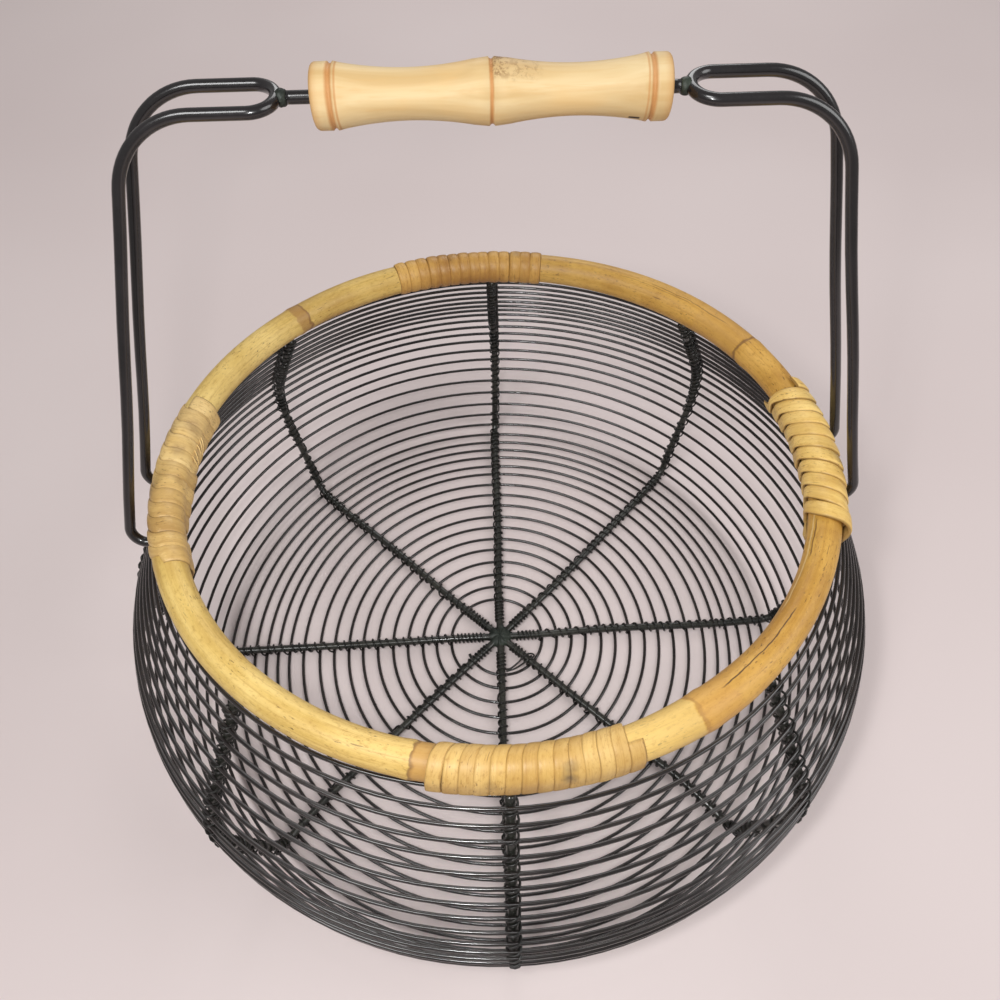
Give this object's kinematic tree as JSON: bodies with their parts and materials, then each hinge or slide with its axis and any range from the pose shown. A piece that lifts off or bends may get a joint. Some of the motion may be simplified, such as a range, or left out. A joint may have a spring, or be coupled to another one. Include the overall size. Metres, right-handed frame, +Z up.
{
  "type": "wire basket",
  "caption": "Round-bellied open basket of spiral wire on bent ribs, with a bound cane rim and a fixed wire handle that carries a loose turned wooden grip.",
  "frame": {"origin": "centre of the flat base on the surface that the basket stands on", "axes": "+X along the handle's grip to the right, +Y towards the back, +Z up"},
  "size_m": [0.3057, 0.2975, 0.2685],
  "materials": {
    "spiral_wire": "dark, slightly rusty wire with a dull shine",
    "rib_steel": "dark greenish-brown rod, worn bright in places",
    "handle_steel": "smooth blue-black rod, satin",
    "weld": "dark rough weld metal",
    "cane": "honey-coloured varnished cane",
    "cane_strip": "split cane, satin, darker at the edges",
    "grip_wood": "pale turned wood, lightly varnished"
  },
  "bodies": {
    "basket": {"base_spiral": "spiral_wire", "wall_spiral": "spiral_wire", "rib_right": "rib_steel", "rib_back_right": "rib_steel", "rib_back": "rib_steel", "rib_back_left": "rib_steel", "rib_left": "rib_steel", "rib_front_left": "rib_steel", "rib_front": "rib_steel", "rib_front_right": "rib_steel", "hub_weld": "weld", "rim_cane": "cane", "wrap_back": "cane_strip", "wrap_front": "cane_strip", "wrap_left": "cane_strip", "wrap_right": "cane_strip", "handle_loop_left": "handle_steel", "handle_loop_right": "handle_steel", "grip_rod": "handle_steel", "weld_left": "weld", "weld_right": "weld"},
    "grip": {"grip": "grip_wood"}
  },
  "joints": [
    {"name": "grip_spin", "type": "hinge", "parent": "basket", "child": "grip", "pos_m": [0, 0.03728, 0.26], "axis": [1, 0, 0], "continuous": true}
  ]
}
